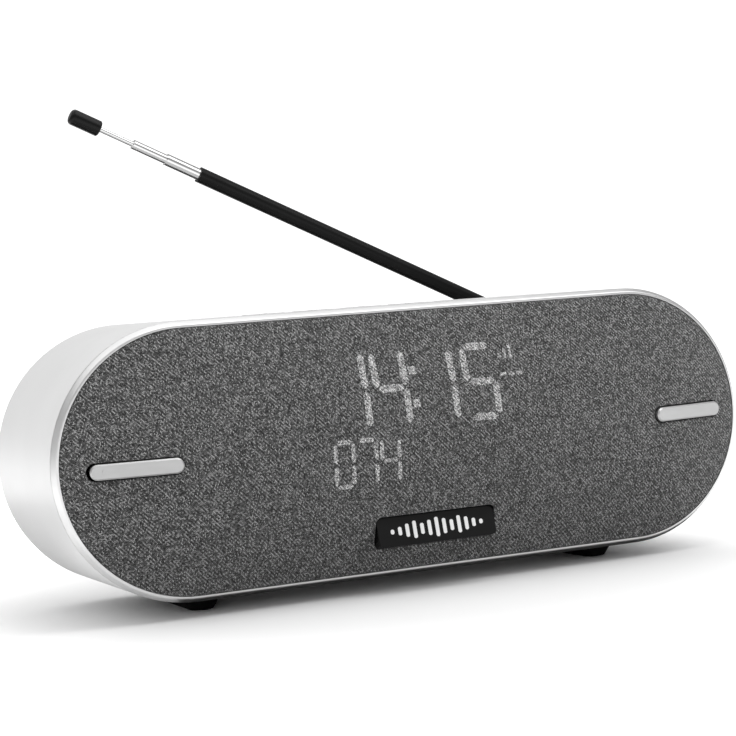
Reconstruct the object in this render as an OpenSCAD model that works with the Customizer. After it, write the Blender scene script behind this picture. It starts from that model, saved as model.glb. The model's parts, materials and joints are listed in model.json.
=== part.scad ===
// Tabletop radio with a crowned cloth front, stadium-shaped case and telescopic aerial.
// Millimetres, +Z up, front towards -Y, origin on the table under the middle of the radio.

/* [Case] */
// Width of the case
case_w = 288; // [270:1:310]
// Height of the case without its feet
case_h = 102; // [98:1:108]
// Depth of the case sleeve and bezel, from the bezel's lip to the back
case_d = 82; // [76:1:90]
// Wall of the case sleeve
wall = 3; // [2.4:0.1:3.4]
// Height of the rubber feet
foot_h = 6; // [4:0.5:8]
// Distance of each foot from the middle, sideways
foot_x = 85; // [70:1:90]
// Distance of each foot's two pegs from the middle, front to back
foot_y = 12; // [8:0.5:14]

/* [Front] */
// How far the cloth front bulges past the bezel
crown_h = 13; // [8:0.5:16]
// Width of the silver bezel ring
bezel_w = 2.3; // [1.6:0.1:3]
// Thickness of the grille cloth
cloth_t = 0.5; // [0.3:0.1:0.8]
// Thickness of the moulded grille under the cloth
grille_t = 1.4; // [1.2:0.1:1.6]
// Length of each silver bar
bar_len = 33.6; // [24:0.2:36]
// Height of each silver bar
bar_h = 5.6; // [4:0.2:7]
// Distance of each bar's middle from the middle of the front
bar_x = 115.4; // [110:0.2:118]
// Width of the nameplate
badge_w = 49; // [36:1:60]
// Height of the nameplate
badge_h = 11; // [8:0.5:13]
// Height of the nameplate's middle above the table
badge_z = 23.7; // [21:0.1:27]
// Backward lean of the nameplate in degrees
badge_lean = 13; // [8:1:20]

/* [Aerial] */
// Angle of the aerial above level, at rest
aerial_angle = 26; // [10:1:60]
// Distance of the aerial's pivot from the middle, sideways
aerial_x = 110; // [100:1:112]
// Height of the aerial's pivot above the table
aerial_z = 88.5; // [84:0.5:90]
// Gap from the back of the case to the aerial's middle
aerial_gap = 6; // [5.5:0.1:8]
// Length from the pivot to the end of the black outer tube
tube_len = 178; // [160:1:190]
// How far each of the three inner stages is pulled out at rest
stage_out = 15; // [2:0.5:30]
// Length of each inner stage
stage_len = 150; // [130:1:150]

/* [Controls] */
// Length of a top button
button_l = 16; // [12:1:18]
// Width of a top button
button_w = 8; // [6:0.5:10]
// Distance between neighbouring buttons
button_pitch = 21; // [20:1:24]
// Travel of a top button
button_travel = 0.5; // [0.3:0.1:0.6]

/* [Speakers] */
// Distance of each speaker from the middle
speaker_x = 82; // [80:1:84]
// Radius of a speaker's frame
speaker_r = 34; // [32:1:35]

/* [Hidden] */
$fn = 64;
eps = 0.01;
cut = 1;

// Frame of the case: middle height, bezel lip, parting line and back
mid_z = foot_h + case_h / 2;
r_out = case_h / 2;
r_in = r_out - wall;
span = case_w - case_h;
y_lip = -(case_d - 5) / 2 - 1;
y_part = y_lip + 2.7;
part_gap = 0.45;
y_back = y_lip + case_d;
y_aerial = y_back + aerial_gap;

// Cloth outline inside the bezel
cloth_r = r_out - bezel_w;
cloth_half_w = span / 2 + cloth_r;
cloth_gap = 0.3;

// Stack behind the cloth
y_flange = y_lip + cloth_t + grille_t;
skirt_r = r_in - 0.25;
y_baffle = y_lip + 9.5;
baffle_t = 3;
y_speaker = y_baffle + baffle_t;

// Rear cover
rear_t = 2.5;
rear_r = 44;
rear_gap = 0.2;
rear_lip = 4;
rear_recess = 0.6;
rear_collar = 5;
y_cover = y_back - rear_recess - rear_t;

// Fasteners
boss_r = 3.6;
pilot_r = 1.25;
screw_r = 1.2;
screw_clear_r = 1.6;
screw_head_r = 2.8;
screw_spots = [
    for (side = [-1, 1], p = [[118, 22], [118, -22], [50, 33], [62, -34]]) [side * p[0], p[1]]
];

// Height of the cloth's bulge over the flat lip plane, as a share of the crown
function edge_height(x) = abs(x) < span / 2 ? cloth_r
    : sqrt(max(0.01, cloth_r * cloth_r - pow(abs(x) - span / 2, 2)));
function crown(x, z) = crown_h * (1 - pow(abs(x) / cloth_half_w, 4))
    * max(0, 1 - pow(z / edge_height(x), 2));

// ---------- shared shapes ----------

// Stadium in the X-Y plane of a sketch
module stadium(width, height) {
    square([width - height, height], center = true);
    for (side = [-1, 1])
        translate([side * (width - height) / 2, 0])
            circle(r = height / 2);
}

// Upright slab between two depths, from a front-view sketch centred on the case
module slab(y0, y1, z = mid_z) {
    translate([0, y1, z])
        rotate([90, 0, 0])
            linear_extrude(height = y1 - y0)
                children();
}

// Stadium slab of half-height r between two depths
module stadium_slab(r, y0, y1) {
    slab(y0, y1)
        stadium(span + 2 * r, 2 * r);
}

// Stadium solid with a turned edge: outline lists [half-height, depth] from front to back
module stadium_turned(outline, length = span, z = mid_z) {
    first = outline[0][1];
    last = outline[len(outline) - 1][1];
    closed = concat([[0, first]], outline, [[0, last]]);
    for (side = [0, 1])
        translate([(side == 0 ? 1 : -1) * length / 2, 0, z])
            rotate([-90, 0, 0])
                rotate([0, 0, side == 0 ? -90 : 90])
                    rotate_extrude(angle = 180)
                        polygon(closed);
    translate([0, 0, z])
        rotate([90, 0, 90])
            linear_extrude(height = length, center = true)
                polygon(concat(
                    [for (p = outline) [p[1], p[0]]],
                    [for (i = [len(outline) - 1:-1:0]) [outline[i][1], -outline[i][0]]]
                ));
}

// Cylinder along Y between two depths
module rod_y(x, z, y0, y1, r) {
    translate([x, y0, z])
        rotate([-90, 0, 0])
            cylinder(h = y1 - y0, r = r);
}

// Box from its lowest corner to its highest
module box(low, high) {
    translate(low)
        cube(high - low);
}

// Thin crowned sheet that follows the front, between two offsets behind the cloth's face
module crowned_sheet(r, near, far) {
    columns = 20;
    rows = 12;
    end_angle = 84;
    xs = concat(
        [for (i = [0:columns / 2 - 1]) -span / 2 - r * sin(end_angle - i * end_angle * 2 / columns)],
        [for (i = [0:columns]) -span / 2 + i * span / columns],
        [for (i = [1:columns / 2]) span / 2 + r * sin(i * end_angle * 2 / columns)]
    );
    n = len(xs);
    m = rows + 1;
    function half(x) = abs(x) <= span / 2 ? r : sqrt(r * r - pow(abs(x) - span / 2, 2));
    function spot(x, j, back) = let (z = half(x) * (2 * j / rows - 1))
        [x, y_lip + back - crown(x, z * 0.999), mid_z + z];
    points = [for (back = [near, far]) for (x = xs) for (j = [0:rows]) spot(x, j, back)];
    function at(side, i, j) = side * n * m + i * m + j;
    front = [for (i = [0:n - 2]) for (j = [0:rows - 1]) each [
        [at(0, i, j), at(0, i, j + 1), at(0, i + 1, j + 1)],
        [at(0, i, j), at(0, i + 1, j + 1), at(0, i + 1, j)]]];
    back = [for (i = [0:n - 2]) for (j = [0:rows - 1]) each [
        [at(1, i, j), at(1, i + 1, j + 1), at(1, i, j + 1)],
        [at(1, i, j), at(1, i + 1, j), at(1, i + 1, j + 1)]]];
    lower = [for (i = [0:n - 2]) each [
        [at(0, i, 0), at(0, i + 1, 0), at(1, i + 1, 0)], [at(0, i, 0), at(1, i + 1, 0), at(1, i, 0)]]];
    upper = [for (i = [0:n - 2]) each [
        [at(0, i, rows), at(1, i + 1, rows), at(0, i + 1, rows)],
        [at(0, i, rows), at(1, i, rows), at(1, i + 1, rows)]]];
    left = [for (j = [0:rows - 1]) each [
        [at(0, 0, j), at(1, 0, j), at(1, 0, j + 1)], [at(0, 0, j), at(1, 0, j + 1), at(0, 0, j + 1)]]];
    right = [for (j = [0:rows - 1]) each [
        [at(0, n - 1, j), at(1, n - 1, j + 1), at(1, n - 1, j)],
        [at(0, n - 1, j), at(0, n - 1, j + 1), at(1, n - 1, j + 1)]]];
    polyhedron(points = points, faces = concat(front, back, lower, upper, left, right), convexity = 4);
}

// ---------- case ----------

module case_sleeve() {
    edge_r = 4;
    rim = [for (i = [0:6]) let (a = i * 15)
        [r_out - edge_r + edge_r * cos(a), y_back - edge_r + edge_r * sin(a)]];
    color("white")
        difference() {
            union() {
                difference() {
                    stadium_turned(concat([[r_out, y_part + part_gap]], rim));
                    stadium_slab(r_in, y_part - cut, y_back - rear_lip);
                    stadium_slab(rear_r, y_back - rear_lip - cut, y_back + cut);
                }
                for (side = [-1, 1])
                    translate([side * hanger_x, button_y, control_z])
                        cylinder(h = mid_z + r_in + eps - control_z, r = 3);
            }
            for (side = [-1, 1])
                translate([side * hanger_x, button_y, control_z - cut])
                    cylinder(h = 7 + cut, r = pilot_r);
            for (i = [-2:2])
                button_outline(i, mid_z + r_in - cut, mid_z + r_out + cut, 0.25);
            for (x = [-foot_x, foot_x], y = [-foot_y, foot_y])
                translate([x, y, foot_h - cut])
                    cylinder(h = wall + 2 * cut, r = 3.05);
        }
}

module front_bezel() {
    // Flat lip, then a rounded turn into a steep outer slope
    lip_w = 0.55;
    curve = [for (p = [[0, 0], [0.25, 0.07], [0.45, 0.2], [0.6, 0.42], [1.55, 2.15]])
        [cloth_r + lip_w + p[0], y_lip + p[1]]];
    color("silver")
        difference() {
            union() {
                stadium_turned(concat(curve, [[r_out, y_part - 0.15], [r_out, y_part]]));
                stadium_slab(skirt_r, y_part, y_baffle);
            }
            stadium_slab(cloth_r, y_lip - cut, y_flange);
            stadium_slab(cloth_r - 3, y_flange - cut, y_baffle + cut);
        }
}

// Sketch of the display well and what fits in it, shrunk by an inset
module display_area(inset) {
    translate([-1, 10])
        square([display_w - 2 * inset, display_h - 2 * inset], center = true);
}

// Openings through cloth and grille for a bar, and for the nameplate
module bar_slot(side, gap) {
    slab(y_lip - crown_h - cut, y_flange + 5)
        translate([side * bar_x, 0])
            stadium(bar_len + 2 * gap, bar_h + 2 * gap);
}

module badge_slot(gap) {
    lean_with_badge()
        cube([badge_w + 2 * gap, 4 * badge_t, badge_h + 2 * gap], center = true);
}

module grille_slot(x, z) {
    slab(y_lip - crown_h - cut, y_flange + 5)
        translate([x, z])
            hull()
                for (end = [-1, 1])
                    translate([end * 3.5, 0])
                        circle(r = 1.4, $fn = 8);
}

module grille_frame() {
    pitch_x = 13;
    pitch_z = 6.6;
    first_x = speaker_x - 5;
    function stagger(row) = row % 2 == 0 ? 0.75 : 0.25;
    color("dimgray")
        difference() {
            crowned_sheet(cloth_r - 0.25, cloth_t + 0.05, cloth_t + grille_t);
            for (side = [-1, 1]) {
                bar_slot(side, 0.9);
                for (row = [-3:3], col = [-2:1])
                    if (row != 0 || col < 0)
                        grille_slot(side * (first_x + (col + stagger(row)) * pitch_x), row * pitch_z);
            }
            badge_slot(0.6);
            slab(y_lip - crown_h - cut, y_flange + 5)
                display_area(2);
        }
}

module grille_cloth() {
    color("gray")
        difference() {
            crowned_sheet(cloth_r - cloth_gap, 0, cloth_t);
            for (side = [-1, 1])
                bar_slot(side, 0.7);
            badge_slot(0.4);
        }
}

// Silver bar with a bevelled face, tipped to follow the crown, and two pins into the baffle
bar_proud = 0.9;
bar_depth = 4.2;
bar_bevel = 0.5;
bar_pin_x = [116.5, 126.5];
bar_pin_r = 1.2;
bar_tilt = atan((crown(bar_x - bar_len / 2, 0) - crown(bar_x + bar_len / 2, 0)) / bar_len) * 0.92;

module trim_bar(side) {
    face = y_lip - crown(bar_x, 0) - bar_proud;
    color("lightgray") {
        translate([side * bar_x, face, 0])
            rotate([0, 0, side * bar_tilt])
                stadium_turned([
                    [bar_h / 2 - bar_bevel, 0], [bar_h / 2, bar_bevel], [bar_h / 2, bar_depth]
                ], bar_len - bar_h);
        for (x = bar_pin_x)
            rod_y(side * x, mid_z, face + bar_depth / 2, y_baffle + 2, bar_pin_r);
    }
}

module trim_bar_left() { trim_bar(-1); }
module trim_bar_right() { trim_bar(1); }

// Nameplate: a leaning black block with two pins into the baffle
badge_t = 5;
badge_corner = 2;
badge_proud = 1.2;
badge_face_y = y_lip - crown(0, badge_z - mid_z) - badge_proud;
badge_pin_x = 16;

module lean_with_badge() {
    translate([0, badge_face_y, badge_z])
        rotate([-badge_lean, 0, 0])
            children();
}

module rounded_tile(width, height, corner, y0, y1) {
    translate([0, y1, 0])
        rotate([90, 0, 0])
            linear_extrude(height = y1 - y0) {
                square([width - 2 * corner, height], center = true);
                square([width, height - 2 * corner], center = true);
                for (x = [-1, 1], z = [-1, 1])
                    translate([x * (width / 2 - corner), z * (height / 2 - corner)])
                        circle(r = corner);
            }
}

module badge_plate() {
    color("black")
        union() {
            lean_with_badge()
                rounded_tile(badge_w, badge_h, badge_corner, 0, badge_t);
            for (side = [-1, 1])
                rod_y(side * badge_pin_x, badge_z, badge_face_y + 2, y_baffle + 2, 1.5);
        }
}

// Generic row of sound-level strokes on the nameplate
module badge_emblem() {
    heights = [1.8, 3.2, 5.0, 6.6, 4.2, 5.8, 7.4, 5.8, 4.2, 6.6, 5.0, 3.2, 1.8];
    stroke = 1.5;
    pitch = 3.1;
    color("white")
        lean_with_badge()
            for (i = [0:len(heights) - 1])
                translate([(i - (len(heights) - 1) / 2) * pitch, 0, 0])
                    rounded_tile(stroke, heights[i], stroke * 0.45, -0.12, 0);
}

module front_baffle() {
    color("dimgray")
        difference() {
            union() {
                stadium_slab(r_in - 0.3, y_baffle, y_baffle + baffle_t);
                slab(display_y, y_baffle + eps)
                    display_area(0);
                for (p = screw_spots)
                    rod_y(p[0], mid_z + p[1], y_baffle + baffle_t - eps, y_cover - 0.3, boss_r);
            }
            for (side = [-1, 1]) {
                rod_y(side * speaker_x, mid_z, y_baffle - cut, y_baffle + baffle_t + cut, speaker_r - 4);
                for (x = bar_pin_x)
                    rod_y(side * x, mid_z, y_baffle - cut, y_baffle + baffle_t + cut, bar_pin_r + 0.05);
                rod_y(side * badge_pin_x, badge_z, y_baffle - cut, y_baffle + baffle_t + cut, 1.55);
                for (a = [45:90:315])
                    rod_y(side * speaker_x + 31.9 * cos(a), mid_z + 31.9 * sin(a),
                        y_baffle + baffle_t - 2, y_baffle + baffle_t + cut, pilot_r);
            }
            slab(display_y - cut, display_board_y + board_t)
                display_area(2);
            slab(display_board_y, y_baffle + baffle_t + cut)
                display_area(4);
            for (p = screw_spots)
                rod_y(p[0], mid_z + p[1], y_cover - 15, y_cover + cut, pilot_r);
        }
}

// ---------- display ----------

display_w = 88;
display_h = 54;
display_y = y_lip - 2.5;
diffuser_t = 1.5;
board_t = 1.6;
display_board_y = display_y + 4.6;

module display_diffuser() {
    color("whitesmoke")
        slab(display_y, display_y + diffuser_t)
            display_area(2.1);
}

module display_board() {
    color("darkgreen")
        slab(display_board_y, display_board_y + board_t)
            display_area(2.1);
}

// Light bars of a seven-segment digit, numbered 0 to 6: top, upper left, upper right, middle,
// lower left, lower right and bottom
module digit_leds(left, top, width, height, stroke, lit) {
    half = height / 2;
    spots = [[width / 2, 0], [0, -half / 2], [width, -half / 2], [width / 2, -half],
        [0, -half * 1.5], [width, -half * 1.5], [width / 2, -height]];
    for (i = lit)
        translate([left + spots[i][0], top + spots[i][1]])
            square(i % 3 == 0 ? [width * 0.6, stroke] : [stroke, half * 0.72], center = true);
}

module display_leds() {
    time_top = 33.2;
    time_w = 11.8;
    time_h = 26.4;
    line_top = 2.2;
    color("ivory")
        slab(display_board_y - 1.8, display_board_y) {
            digit_leds(-38.2, time_top, time_w, time_h, 2.4, [2, 5]);
            digit_leds(-21.8, time_top, time_w, time_h, 2.4, [1, 2, 3, 5]);
            digit_leds(-1.8, time_top, time_w, time_h, 2.4, [2, 5]);
            digit_leds(15.4, time_top, time_w, time_h, 2.4, [0, 1, 3, 5, 6]);
            for (z = [14, 26.3])
                translate([-6.2, z])
                    square([2.6, 2.6], center = true);
            digit_leds(-40.8, line_top, 6.6, 16, 1.5, [0, 1, 2, 4, 5, 6]);
            digit_leds(-31.6, line_top, 6.6, 16, 1.5, [0, 2, 5]);
            digit_leds(-22.4, line_top, 6.6, 16, 1.5, [1, 2, 3, 5]);
            // Signal strength and three status marks beside the time
            for (i = [0:2]) {
                translate([31.4 + i * 2.3, 28.7 + i * 0.8])
                    square([1.2, 2.2 + i * 1.6], center = true);
                translate([31.6 + i * 3.4, 21.8])
                    square([2.4, 1.4], center = true);
            }
        }
}

// ---------- speakers ----------

module at_speaker(side) {
    translate([side * speaker_x, y_speaker, mid_z])
        rotate([-90, 0, 0])
            children();
}

module turned(profile) {
    rotate_extrude()
        polygon(profile);
}

module speaker_basket(side) {
    color("dimgray")
        at_speaker(side)
            difference() {
                turned([
                    [27.4, 0], [speaker_r, 0], [speaker_r, 1.6], [29.6, 1.6], [18.6, 14.4], [18.6, 16],
                    [14, 16], [14, 14.8], [17, 14.8], [17, 13.6], [27.4, 1.4]
                ]);
                for (a = [0:90:270])
                    rotate([0, 0, a])
                        translate([15, -6, 4.5])
                            cube([14, 12, 7.5]);
                for (a = [45:90:315])
                    translate([31.9 * cos(a), 31.9 * sin(a), -cut])
                        cylinder(h = 4, r = 1.4, $fn = 32);
            }
}

module speaker_surround(side) {
    roll_r = 2.3;
    roll_x = 24.9;
    outer = [for (a = [0:15:180]) [roll_x + roll_r * cos(a), -0.45 - roll_r * sin(a)]];
    inner = [for (a = [180:-15:0]) [roll_x + (roll_r - 0.45) * cos(a), -0.45 - (roll_r - 0.45) * sin(a)]];
    color("black")
        at_speaker(side)
            turned(concat(
                [[29.8, 0], [29.8, -0.45]], outer, [[21.4, -0.45], [21.4, 0], [roll_x - roll_r + 0.45, 0]],
                inner, [[roll_x + roll_r - 0.45, 0]]
            ));
}

module speaker_cone(side) {
    color("darkslategray")
        at_speaker(side)
            turned([[22.4, 0], [22.4, 0.4], [21.6, 0.4], [10.2, 9.2], [9.9, 9.2], [9.9, 8.9], [21.3, 0]]);
}

module speaker_dust_cap(side) {
    cap_r = 14;
    rim_r = 9.8;
    drop = sqrt(cap_r * cap_r - rim_r * rim_r);
    outer = [for (i = [0:8]) let (a = asin(rim_r / cap_r) * i / 8)
        [cap_r * sin(a), 8.8 + drop - cap_r * cos(a)]];
    color("dimgray")
        at_speaker(side)
            turned(concat(outer, [for (i = [8:-1:0]) [outer[i][0] * 0.96, outer[i][1] + 0.35]]));
}

module speaker_voice_coil(side) {
    color("peru")
        at_speaker(side)
            turned([[9.6, 9.3], [9.85, 9.3], [9.85, 15], [10.2, 15], [10.2, 19.5], [9.6, 19.5]]);
}

module speaker_spider(side) {
    ridges = [for (i = [0:15]) [10 + i * 0.5, 12.6 + 0.5 * sin(i * 90)]];
    color("goldenrod")
        at_speaker(side)
            turned(concat(ridges, [for (i = [15:-1:0]) ridges[i] + [0, 0.35]]));
}

module speaker_top_plate(side) {
    color("silver")
        at_speaker(side)
            turned([[10.6, 16], [19.5, 16], [19.5, 19], [10.6, 19]]);
}

module speaker_magnet(side) {
    color("gray")
        at_speaker(side)
            turned([[13, 19], [22, 19], [22, 27], [13, 27]]);
}

module speaker_yoke(side) {
    color("silver")
        at_speaker(side)
            turned([[0, 16.2], [9.1, 16.2], [9.1, 27], [21, 27], [21, 30], [0, 30]]);
}

module speaker_left_basket() { speaker_basket(-1); }
module speaker_left_surround() { speaker_surround(-1); }
module speaker_left_cone() { speaker_cone(-1); }
module speaker_left_dust_cap() { speaker_dust_cap(-1); }
module speaker_left_voice_coil() { speaker_voice_coil(-1); }
module speaker_left_spider() { speaker_spider(-1); }
module speaker_left_top_plate() { speaker_top_plate(-1); }
module speaker_left_magnet() { speaker_magnet(-1); }
module speaker_left_yoke() { speaker_yoke(-1); }
module speaker_right_basket() { speaker_basket(1); }
module speaker_right_surround() { speaker_surround(1); }
module speaker_right_cone() { speaker_cone(1); }
module speaker_right_dust_cap() { speaker_dust_cap(1); }
module speaker_right_voice_coil() { speaker_voice_coil(1); }
module speaker_right_spider() { speaker_spider(1); }
module speaker_right_top_plate() { speaker_top_plate(1); }
module speaker_right_magnet() { speaker_magnet(1); }
module speaker_right_yoke() { speaker_yoke(1); }

// ---------- back and electronics ----------

socket_z = 24;
power_x = -44;
aux_x = -24;
phones_x = -8;
jack_r = 1.8;
jack_len = 11;
board_y = y_cover - 16;
board_screw_x = [-52, 42];
board_screw_z = [32, 64];

module rear_cover() {
    lip_y = y_back - rear_lip - 0.1;
    lip_t = 1.5;
    color("whitesmoke")
        difference() {
            union() {
                stadium_slab(rear_r - rear_gap, y_cover, y_cover + rear_t);
                // Collar and lip that bear on the inside of the sleeve's rim
                difference() {
                    union() {
                        stadium_slab(r_in - 0.4, lip_y - lip_t, lip_y);
                        stadium_slab(rear_r - rear_gap, lip_y - eps, y_cover + eps);
                    }
                    stadium_slab(rear_r - rear_collar, lip_y - lip_t - cut, y_back);
                    rod_y(aerial_x, aerial_z, lip_y - lip_t - cut, y_back, bush_flange_r + 0.3);
                }
                for (x = board_screw_x, z = board_screw_z)
                    rod_y(x, z, board_y + board_t, y_cover + eps, 3);
            }
            for (x = board_screw_x, z = board_screw_z)
                rod_y(x, z, board_y, y_cover - 2, pilot_r);
            for (p = screw_spots) {
                rod_y(p[0], mid_z + p[1], y_cover - 2 * cut, y_back, screw_clear_r);
                rod_y(p[0], mid_z + p[1], y_cover + 1.1, y_back, screw_head_r + 0.2);
            }
            rod_y(aerial_x, aerial_z, y_cover - cut, y_back, 4);
            for (x = [aux_x, phones_x])
                rod_y(x, socket_z, y_cover - cut, y_back, 3.3);
            box([power_x - 5, y_cover - cut, socket_z - 2.1], [power_x + 5, y_back, socket_z + 2.1]);
            // Cooling slots
            for (i = [-5:5])
                box([i * 6 - 1.1, y_cover - cut, mid_z + 6], [i * 6 + 1.1, y_back, mid_z + 24]);
        }
}

module main_board() {
    color("darkgreen")
        difference() {
            box([-56, board_y, 18], [46, board_y + board_t, 68]);
            for (x = board_screw_x, z = board_screw_z)
                rod_y(x, z, board_y - cut, board_y + 3, 1.6);
        }
}

module tuner_can() {
    color("silver")
        difference() {
            box([-46, board_y - 6, 44], [-16, board_y, 66]);
            box([-45.5, board_y - 5.5, 44.5], [-16.5, board_y + cut, 65.5]);
        }
}

module heat_sink() {
    fins = 6;
    fin_pitch = 4;
    color("silver")
        union() {
            box([16, board_y - 3, 44], [16 + (fins - 1) * fin_pitch + 1.2, board_y, 62]);
            for (i = [0:fins - 1])
                box([16 + i * fin_pitch, board_y - 11, 44], [16 + i * fin_pitch + 1.2, board_y - 2, 62]);
        }
}

module capacitors() {
    color("navy")
        for (p = [[-10, 56, 4], [-10, 42, 4], [2, 56, 3], [2, 46, 3], [10, 28, 3]])
            rod_y(p[0], p[1], board_y - 9, board_y, p[2]);
}

// 3.5 mm socket with a blind barrel that opens at the back
module jack_socket(x) {
    color("black")
        difference() {
            union() {
                box([x - 4, board_y + board_t, socket_z - 3.5], [x + 4, y_cover, socket_z + 3.5]);
                rod_y(x, socket_z, y_cover - 1, y_back - 0.8, 3);
            }
            rod_y(x, socket_z, y_back - 0.8 - jack_len, y_back, jack_r);
        }
}

module aux_socket() { jack_socket(aux_x); }
module headphone_socket() { jack_socket(phones_x); }

// Flat oval power inlet with a centre tongue
module power_socket() {
    y0 = board_y + board_t;
    color("silver")
        difference() {
            box([power_x - 4.7, y0, socket_z - 1.9], [power_x + 4.7, y_back - 1.4, socket_z + 1.9]);
            difference() {
                box([power_x - 4.2, y0 + 5, socket_z - 1.3], [power_x + 4.2, y_back, socket_z + 1.3]);
                box([power_x - 3.3, y0, socket_z - 0.35], [power_x + 3.3, y_back - 3.4, socket_z + 0.35]);
            }
        }
}

// ---------- top buttons ----------

button_z = mid_z + r_out;
button_flange_z = mid_z + r_in - 0.3;
button_flange_t = 1.2;
button_foot_z = button_flange_z - button_flange_t - 2;
switch_gap = button_travel + 0.1;
control_z = button_foot_z - switch_gap - 4.6;
button_y = 8;
hanger_x = 56;

// Rounded outline of one button between two heights, grown by a gap
module button_outline(i, z0, z1, gap = 0, corner = 2) {
    length = button_l + 2 * gap;
    width = button_w + 2 * gap;
    translate([i * button_pitch, button_y, z0])
        linear_extrude(height = z1 - z0) {
            square([length - 2 * corner, width], center = true);
            square([length, width - 2 * corner], center = true);
            for (x = [-1, 1], y = [-1, 1])
                translate([x * (length / 2 - corner), y * (width / 2 - corner)])
                    circle(r = corner);
        }
}

module top_button(i) {
    color("gainsboro")
        union() {
            button_outline(i, button_flange_z - eps, button_z + 0.2);
            button_outline(i, button_flange_z - button_flange_t, button_flange_z, 0.9);
            translate([i * button_pitch, button_y, button_foot_z])
                cylinder(h = 2 + eps, r = 1.8);
        }
}

module button_power() { top_button(-2); }
module button_source() { top_button(-1); }
module button_volume_down() { top_button(0); }
module button_volume_up() { top_button(1); }
module button_preset() { top_button(2); }

module control_board() {
    color("darkgreen")
        difference() {
            box([-60, button_y - 7, control_z - board_t], [60, button_y + 7, control_z]);
            for (side = [-1, 1])
                translate([side * hanger_x, button_y, control_z - board_t - cut])
                    cylinder(h = board_t + 2 * cut, r = screw_clear_r);
        }
}

module tact_switches() {
    color("silver")
        for (i = [-2:2])
            translate([i * button_pitch, button_y, control_z])
                union() {
                    translate([-3, -3, 0])
                        cube([6, 6, 3.5]);
                    cylinder(h = 4.6, r = 1.6);
                }
}

// ---------- feet, fasteners, wiring ----------

module rubber_feet() {
    length = 32;
    side_profile = [[4.2, 0], [4.7, 0.2], [7.5, 4.3], [7.9, 5], [7.9, foot_h]];
    color("black")
        for (side = [-1, 1])
            union() {
                translate([side * foot_x, 0, 0])
                    rotate([90, 0, 90])
                        stadium_turned(side_profile, length, 0);
                for (y = [-foot_y, foot_y])
                    translate([side * foot_x, y, foot_h - cut])
                        cylinder(h = wall + 1 + cut, r = 3);
            }
}

// Screw along +Z with its head below the origin
module screw(length, head_r = 2.6, shank_r = screw_r) {
    union() {
        translate([0, 0, -1.2])
            cylinder(h = 1.2, r = head_r);
        translate([0, 0, -eps])
            cylinder(h = length + eps, r = shank_r);
    }
}

module case_screws() {
    color("gray")
        for (p = screw_spots)
            translate([p[0], y_cover + 1.1, mid_z + p[1]])
                rotate([90, 0, 0])
                    screw(13, screw_head_r);
}

module board_screws() {
    color("gray") {
        for (x = board_screw_x, z = board_screw_z)
            translate([x, board_y, z])
                rotate([-90, 0, 0])
                    screw(9);
        for (side = [-1, 1])
            translate([side * hanger_x, button_y, control_z - board_t])
                screw(7);
    }
}

module speaker_screws() {
    color("gray")
        for (side = [-1, 1], a = [45:90:315])
            translate([side * speaker_x + 31.9 * cos(a), y_speaker + 1.6, mid_z + 31.9 * sin(a)])
                rotate([90, 0, 0])
                    screw(3.4, 2, 1.15);
}

// Flat ribbon from the display board to the main board
module ribbon_cable() {
    y0 = display_board_y + board_t;
    path = [[y0, 54], [y0 + 12, 52], [board_y - 8, 37], [board_y, 35]];
    color("tan")
        translate([-38, 0, 0])
            rotate([90, 0, 90])
                linear_extrude(height = 14)
                    polygon(concat(path, [for (i = [3:-1:0]) path[i] - [0, 0.5]]));
}

// Two-wire lead from each speaker to the main board
module speaker_wires() {
    wire_r = 0.8;
    tag_r = 27.6;
    turn_y = board_y - 2;
    color("firebrick")
        for (side = [-1, 1], a = [37, 43.5])
            translate([side * (speaker_x - tag_r * cos(a)), 0, mid_z - tag_r * sin(a)])
                union() {
                    rod_y(0, 0, y_speaker + 5.5, turn_y, wire_r);
                    translate([0, turn_y, 0])
                        sphere(r = wire_r);
                    translate([0, turn_y, 0])
                        rotate([0, side * -90, 0])
                            cylinder(h = side < 0 ? 10 : 20, r = wire_r);
                }
}

// ---------- aerial ----------

tube_r = 3.25;
tube_bore_r = 2.55;
stage_r = [2.5, 2.0, 1.1];
stage_bore_r = [2.05, 1.15];
stage_start = tube_len + stage_out - stage_len;
tip_len = 13;
knuckle_r = 3.5;
tongue_t = 3;
cheek_t = 2;
swivel_post_r = 2.5;
bush_flange_r = 6;

// Local frame of the aerial: +X along the rod from the pivot, +Z across it, +Y backwards
module at_aerial() {
    translate([aerial_x, y_aerial, aerial_z])
        rotate([0, aerial_angle - 180, 0])
            children();
}

module tube_x(x0, x1, r, bore_r = 0) {
    translate([x0, 0, 0])
        rotate([0, 90, 0])
            difference() {
                cylinder(h = x1 - x0, r = r);
                if (bore_r > 0)
                    translate([0, 0, -cut])
                        cylinder(h = x1 - x0 + 2 * cut, r = bore_r);
            }
}

module antenna_bush() {
    color("gray")
        difference() {
            union() {
                rod_y(aerial_x, aerial_z, y_cover - 4, y_back - 0.2, 3.95);
                rod_y(aerial_x, aerial_z, y_cover - 4, y_cover - 0.05, bush_flange_r);
            }
            rod_y(aerial_x, aerial_z, y_cover - 5, y_back + cut, swivel_post_r + 0.05);
        }
}

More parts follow.
